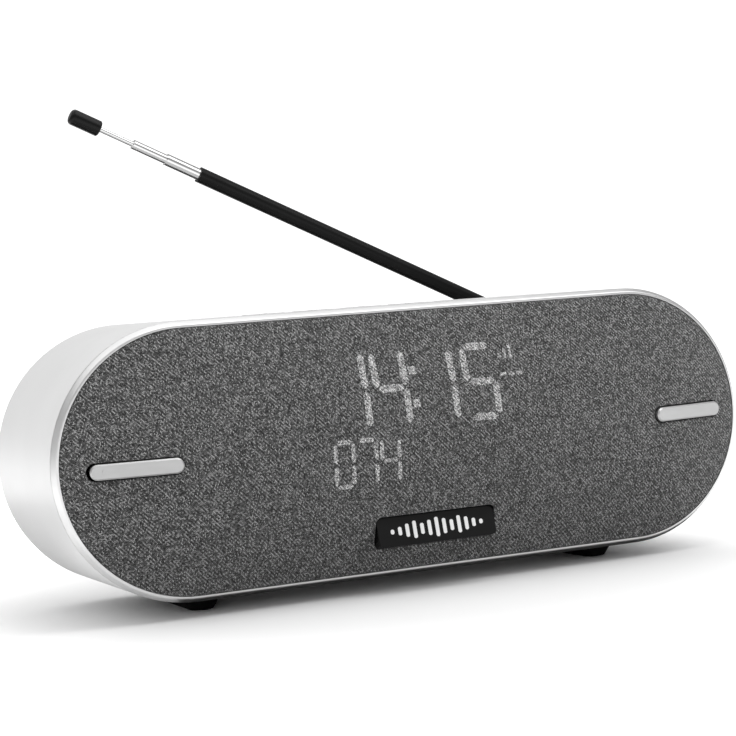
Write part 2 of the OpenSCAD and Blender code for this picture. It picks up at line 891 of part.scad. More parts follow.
module antenna_swivel() {
    base_y = y_back + 0.2;
    color("silver")
        difference() {
            union() {
                rod_y(aerial_x, aerial_z, y_cover - 7.5, base_y + eps, swivel_post_r);
                rod_y(aerial_x, aerial_z, base_y, base_y + 1.6, 5.2);
                at_aerial()
                    for (side = [-1, 1])
                        translate([0, 0, side * (tongue_t / 2 + 0.1 + cheek_t / 2)])
                            union() {
                                cylinder(h = cheek_t, r = 4, center = true);
                                translate([-4, base_y - y_aerial, -cheek_t / 2])
                                    cube([8, -(base_y - y_aerial), cheek_t]);
                            }
            }
            at_aerial()
                translate([0, 0, -10])
                    cylinder(h = 20, r = 1.05);
            rod_y(aerial_x, aerial_z, y_cover - 6.3, y_cover - 5.1, 4);
        }
    color("silver")
        rod_y(aerial_x, aerial_z, y_cover - 6.4, y_cover - 5, 1.7);
}

module antenna_clip() {
    color("silver")
        difference() {
            rod_y(aerial_x, aerial_z, y_cover - 6.2, y_cover - 5.2, 4.4);
            rod_y(aerial_x, aerial_z, y_cover - 7, y_cover - 4, 1.75);
        }
}

module antenna_pin() {
    color("silver")
        at_aerial()
            union() {
                cylinder(h = tongue_t + 2 * cheek_t + 0.4, r = 1, center = true);
                for (side = [-1, 1])
                    translate([0, 0, side * (tongue_t / 2 + cheek_t + 0.1 + 0.35)])
                        cylinder(h = 0.5, r = 1.7, center = true);
            }
}

module antenna_tube() {
    color("black")
        at_aerial()
            difference() {
                union() {
                    cylinder(h = tongue_t, r = knuckle_r, center = true);
                    translate([0, -tube_r * 0.8, -tongue_t / 2])
                        cube([7, tube_r * 1.6, tongue_t]);
                    tube_x(6, tube_len, tube_r);
                }
                cylinder(h = 10, r = 1.05, center = true);
                tube_x(14, tube_len + cut, tube_bore_r);
            }
}

module antenna_stage_1() {
    color("silver")
        at_aerial()
            tube_x(stage_start, stage_start + stage_len, stage_r[0], stage_bore_r[0]);
}

module antenna_stage_2() {
    start = stage_start + stage_out;
    color("silver")
        at_aerial()
            tube_x(start, start + stage_len, stage_r[1], stage_bore_r[1]);
}

module antenna_stage_3() {
    start = stage_start + 2 * stage_out;
    color("silver")
        at_aerial()
            tube_x(start, start + stage_len + 8, stage_r[2]);
}

module antenna_tip() {
    start = stage_start + 2 * stage_out + stage_len;
    round_r = 1.6;
    arc = [for (a = [0:15:90]) [tube_r - round_r + round_r * cos(a), tip_len - round_r + round_r * sin(a)]];
    color("black")
        at_aerial()
            translate([start, 0, 0])
                rotate([0, 90, 0])
                    rotate_extrude()
                        polygon(concat(
                            [[stage_r[2] + 0.02, 0], [tube_r - 0.4, 0], [tube_r, 0.4]], arc,
                            [[0, tip_len], [0, 8.05], [stage_r[2] + 0.02, 8.05]]
                        ));
}

// ---------- build ----------

case_sleeve();
front_bezel();
grille_frame();
grille_cloth();
trim_bar_left();
trim_bar_right();
badge_plate();
badge_emblem();
front_baffle();
display_diffuser();
display_board();
display_leds();
rear_cover();
main_board();
tuner_can();
heat_sink();
capacitors();
power_socket();
aux_socket();
headphone_socket();
control_board();
tact_switches();
button_power();
button_source();
button_volume_down();
button_volume_up();
button_preset();
rubber_feet();
case_screws();
board_screws();
speaker_screws();
ribbon_cable();
speaker_wires();
antenna_bush();
antenna_swivel();
antenna_clip();
antenna_pin();
antenna_tube();
antenna_stage_1();
antenna_stage_2();
antenna_stage_3();
antenna_tip();
speaker_left_basket();
speaker_left_surround();
speaker_left_cone();
speaker_left_dust_cap();
speaker_left_voice_coil();
speaker_left_spider();
speaker_left_top_plate();
speaker_left_magnet();
speaker_left_yoke();
speaker_right_basket();
speaker_right_surround();
speaker_right_cone();
speaker_right_dust_cap();
speaker_right_voice_coil();
speaker_right_spider();
speaker_right_top_plate();
speaker_right_magnet();
speaker_right_yoke();
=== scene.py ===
"""Tabletop radio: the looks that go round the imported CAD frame. Metres, +Z up, front towards -Y."""

import json
import math

import bpy
from mathutils import Matrix, Vector
from mathutils.geometry import delaunay_2d_cdt


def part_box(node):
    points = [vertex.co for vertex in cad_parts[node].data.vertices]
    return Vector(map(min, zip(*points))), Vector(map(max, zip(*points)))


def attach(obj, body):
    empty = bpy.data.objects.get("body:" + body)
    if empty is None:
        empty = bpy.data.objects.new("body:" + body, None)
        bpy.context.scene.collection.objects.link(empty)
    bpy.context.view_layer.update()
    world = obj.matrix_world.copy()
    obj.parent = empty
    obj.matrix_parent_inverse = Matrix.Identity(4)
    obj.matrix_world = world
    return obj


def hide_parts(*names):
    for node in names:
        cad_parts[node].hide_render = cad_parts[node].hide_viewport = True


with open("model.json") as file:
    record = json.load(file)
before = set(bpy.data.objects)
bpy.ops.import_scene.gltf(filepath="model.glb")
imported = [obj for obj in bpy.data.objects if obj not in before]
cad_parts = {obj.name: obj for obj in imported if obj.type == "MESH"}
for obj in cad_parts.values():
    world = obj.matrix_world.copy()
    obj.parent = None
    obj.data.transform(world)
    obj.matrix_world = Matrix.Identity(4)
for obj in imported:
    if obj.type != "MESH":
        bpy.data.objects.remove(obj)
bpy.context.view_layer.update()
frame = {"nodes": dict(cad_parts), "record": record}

MM = 0.001
scene = bpy.context.scene
nodes = frame["nodes"]

# ---------- sizes read from the frame ----------

case_low, case_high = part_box("case_sleeve")
bezel_low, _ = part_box("front_bezel")
cloth_low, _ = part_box("grille_cloth")
mid_z = (case_low.z + case_high.z) / 2
case_r = (case_high.z - case_low.z) / 2
half_span = case_high.x - case_r
lip_y = bezel_low.y
crown_h = lip_y - cloth_low.y
bezel_w = 2.3 * MM
cloth_r = case_r - bezel_w


# ---------- camera ----------


def make_camera():
    """The camera of a three-quarter view from the left, level with the middle of the radio."""
    look_right = math.radians(24.204)
    look_down = math.radians(2.043)
    roll = math.radians(-4.110)
    forward = Vector((
        math.sin(look_right) * math.cos(look_down),
        math.cos(look_right) * math.cos(look_down),
        -math.sin(look_down),
    ))
    level_right = Vector((math.cos(look_right), -math.sin(look_right), 0))
    level_up = level_right.cross(forward)
    right = level_right * math.cos(roll) + level_up * math.sin(roll)
    up = level_up * math.cos(roll) - level_right * math.sin(roll)
    data = bpy.data.cameras.new("camera")
    data.sensor_width = 36
    data.lens = 97.92
    data.clip_start = 0.01
    camera = bpy.data.objects.new("camera", data)
    turn = Matrix((right, up, -forward)).transposed()
    camera.matrix_world = Matrix.Translation((-0.3280, -0.7244, 0.1120)) @ turn.to_4x4()
    scene.collection.objects.link(camera)
    scene.camera = camera


make_camera()


# ---------- shader helpers ----------


class Shader:
    """A Principled material being put together, with short calls for its nodes."""

    def __init__(self, name, **sockets):
        self.material = bpy.data.materials.new(name)
        self.material.use_nodes = True
        self.tree = self.material.node_tree
        self.principled = self.tree.nodes["Principled BSDF"]
        for socket, value in sockets.items():
            self.principled.inputs[socket.replace("_", " ")].default_value = value

    def feed(self, value, socket):
        """Links an output to an input, or sets the input to a plain number."""
        if isinstance(value, bpy.types.NodeSocket):
            self.tree.links.new(value, socket)
        else:
            socket.default_value = value

    def add(self, kind, inputs=(), **settings):
        """A new node with its settings and its numbered or named inputs."""
        node = self.tree.nodes.new(kind)
        for name, value in settings.items():
            setattr(node, name, value)
        for key, value in dict(inputs).items():
            self.feed(value, node.inputs[key])
        return node

    def math(self, operation, *values):
        """The output of one Math node."""
        node = self.add("ShaderNodeMath", enumerate(values), operation=operation)
        return node.outputs[0]

    def place(self):
        """Position on the object in the row frame, in metres."""
        return self.add("ShaderNodeTexCoord").outputs["Object"]

    def noise(self, scale, detail=2.0, roughness=0.5, stretch=(1, 1, 1)):
        """Noise from 0 to 1, with its features 1/scale metres across."""
        mapping = self.add("ShaderNodeMapping", {"Vector": self.place(), "Scale": stretch})
        node = self.add("ShaderNodeTexNoise", {
            "Vector": mapping.outputs[0], "Scale": scale, "Detail": detail, "Roughness": roughness,
        })
        return node.outputs["Fac"]

    def ramp(self, value, *stops):
        """A grey or coloured ramp through (position, colour) stops."""
        node = self.add("ShaderNodeValToRGB", {"Fac": value})
        points = node.color_ramp.elements
        while len(points) < len(stops):
            points.new(0.5)
        for point, (position, colour) in zip(points, stops):
            point.position = position
            point.color = (*colour, 1)
        return node.outputs["Color"]

    def spread(self, value, low, high):
        """A 0 to 1 value stretched to a range."""
        node = self.add("ShaderNodeMapRange", {"Value": value, "To Min": low, "To Max": high})
        return node.outputs[0]

    def bump(self, height, distance, strength=1.0):
        """Raises the surface by a height from 0 to 1, times a distance in metres."""
        node = self.add("ShaderNodeBump", {
            "Height": height, "Distance": distance, "Strength": strength,
        })
        self.feed(node.outputs[0], self.principled.inputs["Normal"])

    def set(self, socket, value):
        self.feed(value, self.principled.inputs[socket])


def grey(level, tint=0.0):
    """A grey, a little blue where the tint is above 0."""
    return (level * (1 - tint), level, level * (1 + tint))


def mottled(shader, low, high, scale, stretch=(1, 1, 1)):
    """Base colour that drifts between two tones."""
    shader.set("Base Color", shader.ramp(shader.noise(scale, stretch=stretch), (0.3, low), (0.7, high)))


# ---------- materials ----------


def moulded(name, low, high, roughness, grain=0.006, grain_scale=1400, specular=0.5):
    """Moulded plastic with a fine spark-eroded grain."""
    shader = Shader(name, Specular_IOR_Level=specular)
    mottled(shader, low, high, 35)
    shader.set("Roughness", shader.spread(shader.noise(220, 3), roughness - 0.05, roughness + 0.05))
    shader.bump(shader.noise(grain_scale, 2), grain * MM)
    return shader.material


def metal(name, low, high, roughness, stretch=(1, 1, 1), grain=0.002, scale=900):
    """Metal with a drawn or brushed grain along the shortest stretch."""
    shader = Shader(name, Metallic=1.0)
    mottled(shader, low, high, 120, stretch)
    shader.set("Roughness", shader.spread(
        shader.noise(scale, 3, stretch=stretch), roughness * 0.75, roughness * 1.25))
    shader.bump(shader.noise(scale, 2, stretch=stretch), grain * MM)
    return shader.material


def woven(name, dark, mid, light, glow=0.0):
    """Melange 2/2 twill: floats of single threads, each with its own tone, and near-black gaps between,
    partly the dark inside seen through the weave and partly painted shade that also darkens each float as it
    dips.
    """
    thread = 0.37 * MM
    shader = Shader(name, Roughness=0.85, Specular_IOR_Level=0.15, Sheen_Weight=0.15, Sheen_Roughness=0.5)
    split = shader.add("ShaderNodeSeparateXYZ", {"Vector": shader.place()})
    wander = shader.math("MULTIPLY", shader.math("SUBTRACT", shader.noise(260, 1), 0.5), 0.9)
    u = shader.math("ADD", shader.math("DIVIDE", split.outputs["X"], thread), wander)
    v = shader.math("ADD", shader.math("DIVIDE", split.outputs["Z"], thread), wander)
    column, row = shader.math("FLOOR", u), shader.math("FLOOR", v)
    across_u, across_v = shader.math("FRACT", u), shader.math("FRACT", v)
    diagonal = shader.math("ADD", column, row)
    step = shader.math("FLOORED_MODULO", diagonal, 4.0)
    repeat = shader.math("FLOOR", shader.math("DIVIDE", diagonal, 4.0))
    weft_up = shader.math("GREATER_THAN", step, 1.5)

    def hump(value, depth):
        centred = shader.math("MULTIPLY_ADD", value, 2.0, -1.0)
        return shader.math("MULTIPLY_ADD", shader.math("MULTIPLY", centred, centred), -depth, 1.0)

    def float_height(across, along, first):
        position = shader.math("ADD", shader.math("SUBTRACT", step, first), along)
        lengthwise = shader.math("DIVIDE", position, 2.0)
        return shader.math("MULTIPLY", hump(across, 0.75), hump(lengthwise, 0.55))

    def choose(a, b):
        node = shader.add("ShaderNodeMix", {0: weft_up, 2: a, 3: b}, data_type="FLOAT")
        return node.outputs[0]

    def thread_tone(line, offset):
        spot = shader.add("ShaderNodeCombineXYZ", {0: line, 1: repeat, 2: offset})
        return shader.add("ShaderNodeTexWhiteNoise", {"Vector": spot.outputs[0]}).outputs["Value"]

    height = choose(float_height(across_u, across_v, 0.0), float_height(across_v, across_u, 2.0))
    warp_tone = shader.spread(thread_tone(column, 3.0), 0.22, 1.0)
    weft_tone = shader.spread(thread_tone(row, 7.0), 0.0, 0.72)
    tone = choose(warp_tone, weft_tone)
    drift = shader.math("MULTIPLY", shader.math("SUBTRACT", shader.noise(700, 2), 0.5), 0.6)
    cell = shader.add("ShaderNodeCombineXYZ", {0: column, 1: row})
    speck = shader.add("ShaderNodeTexWhiteNoise", {"Vector": cell.outputs[0]}).outputs["Value"]
    speckle = shader.math("MULTIPLY", shader.math("SUBTRACT", speck, 0.5), 0.55)
    mixed = shader.math("ADD", shader.math("ADD", tone, drift), speckle)
    yarn = shader.ramp(mixed, (0.0, dark), (0.55, mid), (1.0, light))
    # Painted shade: the yarn colour is mixed towards near black where the thread height is low, at each
    # float's edges and in the gaps.
    yarn_and_painted_shade = shader.add("ShaderNodeMix", {
        0: shader.math("MULTIPLY_ADD", height, 1.35, -0.35), 6: (*grey(0.008), 1), 7: yarn,
    }, data_type="RGBA")
    shader.set("Base Color", yarn_and_painted_shade.outputs[2])
    if glow:
        shader.set("Emission Color", yarn_and_painted_shade.outputs[2])
        shader.principled.inputs["Emission Strength"].default_value = glow
    shader.bump(height, 0.10 * MM)
    return shader.material


materials = {
    "case_white": moulded("case_white", grey(0.715), grey(0.740), 0.40, grain=0.004),
    "bezel_silver": metal("bezel_silver", grey(0.62), grey(0.68), 0.38, stretch=(0.15, 1, 1)),
    # Painted shade: the trim bars get a darker copy of the bezel's satin silver.
    "bar_silver_painted_shade": metal("bar_silver_painted_shade", grey(0.43), grey(0.48), 0.42, stretch=(0.15, 1, 1)),
    "badge_black": moulded("badge_black", grey(0.006), grey(0.009), 0.24, grain=0.001, specular=0.20),
    "print_white": moulded("print_white", grey(0.78), grey(0.85), 0.45, grain=0.003),
    "inner_plastic": moulded("inner_plastic", grey(0.010), grey(0.016), 0.6, grain=0.01),
    "diffuser": moulded("diffuser", grey(0.45), grey(0.50), 0.5),
    "led": moulded("led", (0.80, 0.78, 0.70), (0.86, 0.84, 0.78), 0.4),
    "circuit_board": moulded("circuit_board", (0.01, 0.09, 0.04), (0.02, 0.13, 0.06), 0.35, grain=0.01),
    "tinned_steel": metal("tinned_steel", grey(0.55), grey(0.62), 0.35),
    "sink_aluminium": metal("sink_aluminium", grey(0.60), grey(0.68), 0.42, stretch=(1, 0.15, 1)),
    "capacitor_sleeve": moulded("capacitor_sleeve", (0.01, 0.015, 0.05), (0.02, 0.03, 0.07), 0.25),
    "socket_black": moulded("socket_black", grey(0.015), grey(0.02), 0.45),
    "foot_rubber": moulded("foot_rubber", grey(0.004), grey(0.007), 0.75, 0.02, 900, specular=0.15),
    "screw_steel": metal("screw_steel", grey(0.30), grey(0.36), 0.38),
    "ribbon": moulded("ribbon", (0.50, 0.45, 0.36), (0.58, 0.52, 0.42), 0.5),
    "wire": moulded("wire", (0.30, 0.02, 0.02), (0.38, 0.03, 0.03), 0.5),
    "aerial_metal": metal("aerial_metal", grey(0.54), grey(0.60), 0.14, grain=0.0005),
    "aerial_black": moulded("aerial_black", grey(0.004), grey(0.006), 0.34, 0.003, 2200, specular=0.11),
    "tip_black": moulded("tip_black", grey(0.003), grey(0.005), 0.30, grain=0.002, specular=0.14),
    "basket": moulded("basket", grey(0.03), grey(0.045), 0.5),
    "surround": moulded("surround", grey(0.015), grey(0.022), 0.6),
    "cone_paper": moulded("cone_paper", grey(0.025), grey(0.045), 0.85, grain=0.04, grain_scale=700),
    "spider_cloth": moulded("spider_cloth", (0.42, 0.28, 0.08), (0.52, 0.36, 0.12), 0.8, grain=0.03),
    "coil": metal("coil", (0.45, 0.20, 0.07), (0.55, 0.26, 0.10), 0.35),
    "ferrite": moulded("ferrite", grey(0.05), grey(0.07), 0.7, grain=0.02),
    "grille_cloth": woven("grille_cloth", grey(0.022), grey(0.150), grey(0.54)),
    "button_print": moulded("button_print", grey(0.10), grey(0.13), 0.5, grain=0.002),
    "lit_cloth": woven("lit_cloth", grey(0.08), grey(0.50), grey(0.98), glow=0.36),
}


# ---------- CAD nodes: smooth shading, soft edges and their materials ----------


def smooth_group():
    """Node group that welds a CAD mesh and shades it smooth up to an edge angle."""
    group = bpy.data.node_groups.new("smooth_by_angle", "GeometryNodeTree")
    group.interface.new_socket("Geometry", in_out="INPUT", socket_type="NodeSocketGeometry")
    group.interface.new_socket("Geometry", in_out="OUTPUT", socket_type="NodeSocketGeometry")
    add, link = group.nodes.new, group.links.new
    start, end = add("NodeGroupInput"), add("NodeGroupOutput")
    plain = add("GeometryNodeRemoveAttribute")
    plain.inputs["Name"].default_value = "custom_normal"
    weld = add("GeometryNodeMergeByDistance")
    weld.inputs["Distance"].default_value = 0.002 * MM
    faces = add("GeometryNodeSetShadeSmooth")
    edges = add("GeometryNodeSetShadeSmooth")
    edges.domain = "EDGE"
    edges.inputs["Shade Smooth"].default_value = False
    angle = add("GeometryNodeInputMeshEdgeAngle")
    steep = add("FunctionNodeCompare")
    steep.operation = "GREATER_THAN"
    steep.inputs[1].default_value = math.radians(28)
    link(start.outputs[0], plain.inputs["Geometry"])
    link(plain.outputs[0], weld.inputs["Geometry"])
    link(weld.outputs[0], faces.inputs["Geometry"])
    link(faces.outputs[0], edges.inputs["Geometry"])
    link(angle.outputs["Unsigned Angle"], steep.inputs[0])
    link(steep.outputs[0], edges.inputs["Selection"])
    link(edges.outputs[0], end.inputs[0])
    return group


smoother = smooth_group()
EDGE_WIDTH = {
    "case_sleeve": 0.35, "rear_cover": 0.3, "rubber_feet": 0.5, "badge_plate": 0.35, "badge_emblem": 0.05,
    "trim_bar_left": 0.12, "trim_bar_right": 0.12, "antenna_tube": 0.25, "antenna_swivel": 0.2,
    "antenna_pin": 0.15, "button_power": 0.35, "button_source": 0.35, "button_volume_down": 0.35,
    "button_volume_up": 0.35, "button_preset": 0.35, "antenna_bush": 0.2,
}


def finish_cad_nodes():
    """Gives every CAD node its slot's material, smooth shading and, where it is seen, rounded edges."""
    for row in frame["record"]["subparts"]:
        node = nodes[row["node"]]
        node.data.materials.clear()
        # Painted shade: the trim bars take the darker copy of the silver instead of their slot's material.
        slot = "bar_silver_painted_shade" if row["node"].startswith("trim_bar") else row["material_slot"]
        node.data.materials.append(materials[slot])
        node.modifiers.new("smooth", "NODES").node_group = smoother
        if row["node"] in EDGE_WIDTH:
            bevel = node.modifiers.new("soft_edges", "BEVEL")
            bevel.width = EDGE_WIDTH[row["node"]] * MM
            bevel.segments = 3
            bevel.limit_method = "ANGLE"
            bevel.angle_limit = math.radians(38)
            bevel.harden_normals = True


# ---------- mesh helpers ----------


def make_piece(name, vertices, faces, body="root", smooth=True):
    """A mesh object from points and faces, riding on a body."""
    mesh = bpy.data.meshes.new(name)
    mesh.from_pydata([tuple(v) for v in vertices], [], faces)
    mesh.validate()
    if smooth:
        mesh.shade_smooth()
    piece = bpy.data.objects.new(name, mesh)
    scene.collection.objects.link(piece)
    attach(piece, body)
    return piece


def rounded_outline(half_w, half_h, corner, steps, centre=(0, 0)):
    """Points round a rectangle with arcs at its corners, anticlockwise in X and Z."""
    points = []
    for quarter, (side_x, side_z) in enumerate([(1, 1), (-1, 1), (-1, -1), (1, -1)]):
        for i in range(steps + 1):
            angle = math.pi / 2 * (quarter + i / steps)
            points.append(Vector((
                centre[0] + side_x * (half_w - corner) + corner * math.cos(angle),
                centre[1] + side_z * (half_h - corner) + corner * math.sin(angle),
            )))
    return points


def divided(points, longest):
    """A closed outline with extra points on its long sides, and no doubled points."""
    made = []
    for a, b in zip(points, points[1:] + points[:1]):
        count = max(1, math.ceil((b - a).length / longest))
        if (b - a).length > 1e-7:
            made += [a.lerp(b, i / count) for i in range(count)]
    return made


def rounded_distance(point, half_w, half_h, corner, centre=(0, 0)):
    """Distance from a rounded rectangle's outline, below 0 inside it."""
    x = abs(point[0] - centre[0]) - (half_w - corner)
    z = abs(point[1] - centre[1]) - (half_h - corner)
    return math.hypot(max(x, 0), max(z, 0)) + min(max(x, z), 0) - corner


# ---------- grille cloth ----------

cloth_edge_r = cloth_r - 0.15 * MM
BAR_SIZE = (33.6 * MM, 5.6 * MM)
BAR_X = 115.4 * MM
BADGE_SIZE = (49 * MM, 11 * MM)
BADGE_Z = 23.7 * MM


def crown(x, z):
    """How far the cloth stands in front of the bezel's lip, from x and the height over the middle."""
    reach = abs(x) - half_span
    edge = cloth_r if reach < 0 else math.sqrt(max(cloth_r ** 2 - reach ** 2, 1e-9))
    ends = 1 - (abs(x) / (half_span + cloth_r)) ** 4
    return crown_h * ends * max(0.0, 1 - (z / edge) ** 2)


def cloth_openings():
    """(half width, half height, corner, centre) of the openings for the bars and the nameplate."""
    gap = 0.4 * MM
    bar_w, bar_h = BAR_SIZE[0] / 2 + gap, BAR_SIZE[1] / 2 + gap
    badge = (BADGE_SIZE[0] / 2 + gap, BADGE_SIZE[1] / 2 + gap, 2 * MM + gap, (0, BADGE_Z - mid_z))
    return [(bar_w, bar_h, bar_h, (-BAR_X, 0)), (bar_w, bar_h, bar_h, (BAR_X, 0)), badge]


def light_bar(start, end, stroke):
    """Outline of one display segment with pointed ends."""
    along = (end - start).normalized()
    side = Vector((-along.y, along.x)) * stroke / 2
    inner = along * stroke / 2
    return [start, start + inner - side, end - inner - side, end, end - inner + side, start + inner + side]


def digit(lit, left, right, top, bottom, stroke):
    """Outlines of a seven-segment digit's lit segments, named a to g from the top clockwise."""
    gap = 0.45 * MM
    middle = (top + bottom) / 2
    corners = {
        "a": ((left, top), (right, top)), "b": ((right, top), (right, middle)),
        "c": ((right, middle), (right, bottom)), "d": ((left, bottom), (right, bottom)),
        "e": ((left, middle), (left, bottom)), "f": ((left, top), (left, middle)),
        "g": ((left, middle), (right, middle)),
    }
    made = []
    for name in lit:
        start, end = (Vector(p) for p in corners[name])
        along = (end - start).normalized()
        made.append(light_bar(start + along * gap, end - along * gap, stroke))
    return made


def display_outlines():
    """Every lit shape of the display, in X and height over the middle."""
    SEGMENTS = {"0": "abcdef", "1": "bc", "4": "fgbc", "5": "afgcd", "7": "abc"}
    made = []
    bottom, width, stroke = 6.6 * MM, 11.8 * MM, 2.7 * MM
    for text, left, top in [("1", -38.2, 34.6), ("4", -21.8, 34.2), ("1", -1.8, 33.4), ("5", 15.8, 33.2)]:
        made += digit(SEGMENTS[text], left * MM, left * MM + width, top * MM, bottom, stroke)
    for z in (26.3, 14.0):
        made.append(rounded_outline(1.4 * MM, 1.5 * MM, 0.3 * MM, 2, (-6.5 * MM, z * MM)))
    top, bottom, width, stroke = 2.2 * MM, -14.2 * MM, 7.0 * MM, 1.6 * MM
    for i, text in enumerate("074"):
        left = (-41.2 + i * 9.3) * MM
        made += digit(SEGMENTS[text], left, left + width, top, bottom, stroke)
    # Signal strength and three status marks beside the time
    for i, height in enumerate((2.2, 3.8, 5.4)):
        middle = ((31.4 + i * 2.3) * MM, (27.6 + height / 2) * MM)
        made.append(rounded_outline(0.6 * MM, height * MM / 2, 0.2 * MM, 2, middle))
    for i in range(3):
        made.append(rounded_outline(1.2 * MM, 0.7 * MM, 0.3 * MM, 2, ((31.6 + i * 3.4) * MM, 21.8 * MM)))
    return made


def make_cloth():
    """The stretched cloth: one crowned sheet, tucked in at its rim and openings, lit at the display."""
    rim = (half_span + cloth_edge_r, cloth_edge_r, cloth_edge_r)
    openings = cloth_openings()
    roll = 0.75 * MM
    points, edges, faces = [], [], []

    def add_loop(outline):
        first = len(points)
        points.extend(outline)
        return [first + i for i in range(len(outline))]

    def add_ring(outline):
        loop = add_loop(outline)
        edges.extend(zip(loop, loop[1:] + loop[:1]))

    for inset in (0, 0.06, 0.2, 0.42, 0.75):
        d = inset * MM
        add_ring(divided(rounded_outline(rim[0] - d, rim[1] - d, rim[2] - d, 40), 2.4 * MM))
        for half_w, half_h, corner, centre in openings:
            add_ring(divided(rounded_outline(half_w + d, half_h + d, corner + d, 10, centre), 2.4 * MM))
    for outline in display_outlines():
        faces.append(add_loop(outline))
    pitch = 2.4 * MM
    for i in range(-60, 61):
        for j in range(-21, 22):
            spot = Vector(((i + 0.5 * (j % 2)) * pitch, j * pitch))
            clear = -rounded_distance(spot, *rim)
            clear = min([clear] + [rounded_distance(spot, *o) for o in openings])
            if clear > 1.6 * MM:
                points.append(spot)
    flat, _, triangles, _, _, sources = delaunay_2d_cdt(points, edges, faces, 0, 1e-7)

    def edge_distance(spot):
        return min([-rounded_distance(spot, *rim)] + [rounded_distance(spot, *o) for o in openings])

    kept, lit = [], []
    for triangle, source in zip(triangles, sources):
        middle = sum((flat[i] for i in triangle), Vector((0, 0))) / 3
        if edge_distance(middle) > 0:
            kept.append(tuple(triangle))
            lit.append(bool(source))
    vertices = []
    for spot in flat:
        inside = min(max(edge_distance(spot), 0.0), roll)
        tuck = roll - math.sqrt(roll ** 2 - (roll - inside) ** 2)
        vertices.append((spot.x, lip_y - crown(spot.x, spot.y) + tuck, mid_z + spot.y))
    cloth = make_piece("grille_cloth_woven", vertices, kept)
    cloth.data.materials.append(materials["grille_cloth"])
    cloth.data.materials.append(materials["lit_cloth"])
    for face, is_lit in zip(cloth.data.polygons, lit):
        face.material_index = int(is_lit)
    thick = cloth.modifiers.new("thickness", "SOLIDIFY")
    thick.thickness = 0.4 * MM
    thick.offset = -1
    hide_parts("grille_cloth")
    flat = (2 * (half_span + cloth_r), 2 * cloth_r)


# ---------- symbols printed on the top buttons ----------


def print_shape(name, outlines, key, body):
    """Thin raised print on a button's top, from closed outlines in X and Y about the button's middle."""
    low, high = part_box(key)
    middle_x, middle_y = (low.x + high.x) / 2, (low.y + high.y) / 2
    vertices, faces = [], []
    for outline in outlines:
        first, count = len(vertices), len(outline)
        for height in (0, 0.05):
            for x, y in outline:
                vertices.append((middle_x + x * MM, middle_y + y * MM, high.z + height * MM - 0.01 * MM))
        faces.append([first + count + i for i in range(count)])
        faces.append([first + i for i in reversed(range(count))])
        for i in range(count):
            j = (i + 1) % count
            faces.append([first + i, first + j, first + count + j, first + count + i])
    piece = make_piece(name, vertices, faces, body, smooth=False)
    piece.data.materials.append(materials["button_print"])


def ring_part(inner, outer, start, end, steps=20):
    """Outline of a ring's arc between two angles in degrees."""
    angles = [math.radians(start + (end - start) * i / steps) for i in range(steps + 1)]
    far = [(outer * math.cos(a), outer * math.sin(a)) for a in angles]
    near = [(inner * math.cos(a), inner * math.sin(a)) for a in reversed(angles)]
    return far + near


def block(x, y, width, height):
    """Outline of a rectangle about a middle point."""
    w, h = width / 2, height / 2
    return [(x - w, y - h), (x + w, y - h), (x + w, y + h), (x - w, y + h)]


def make_button_prints():
    """Power, source, minus, plus and preset symbols."""
    power = [ring_part(1.15, 1.55, 125, 415), block(0, 1.15, 0.4, 1.5)]
    source = [block(0, y, 3.0, 0.4) for y in (-1.0, 0.0, 1.0)]
    minus = block(0, 0, 2.8, 0.45)
    plus = [minus, block(0, 0.925, 0.45, 1.4), block(0, -0.925, 0.45, 1.4)]
    star_angle = math.pi / 5
    star = [
        (r * math.sin(star_angle * i), r * math.cos(star_angle * i)) for i, r in enumerate([1.7, 0.75] * 5)
    ]
    print_shape("print_power", power, "button_power", "key_power")
    print_shape("print_source", source, "button_source", "key_source")
    print_shape("print_volume_down", [minus], "button_volume_down", "key_volume_down")
    print_shape("print_volume_up", plus, "button_volume_up", "key_volume_up")
    print_shape("print_preset", [star], "button_preset", "key_preset")


# ---------- rear case screws with cross recesses ----------

SCREW_SPOTS = [(118, 22), (118, -22), (50, 33), (62, -34)]
SCREW_HEAD_BACK = 40.5 * MM


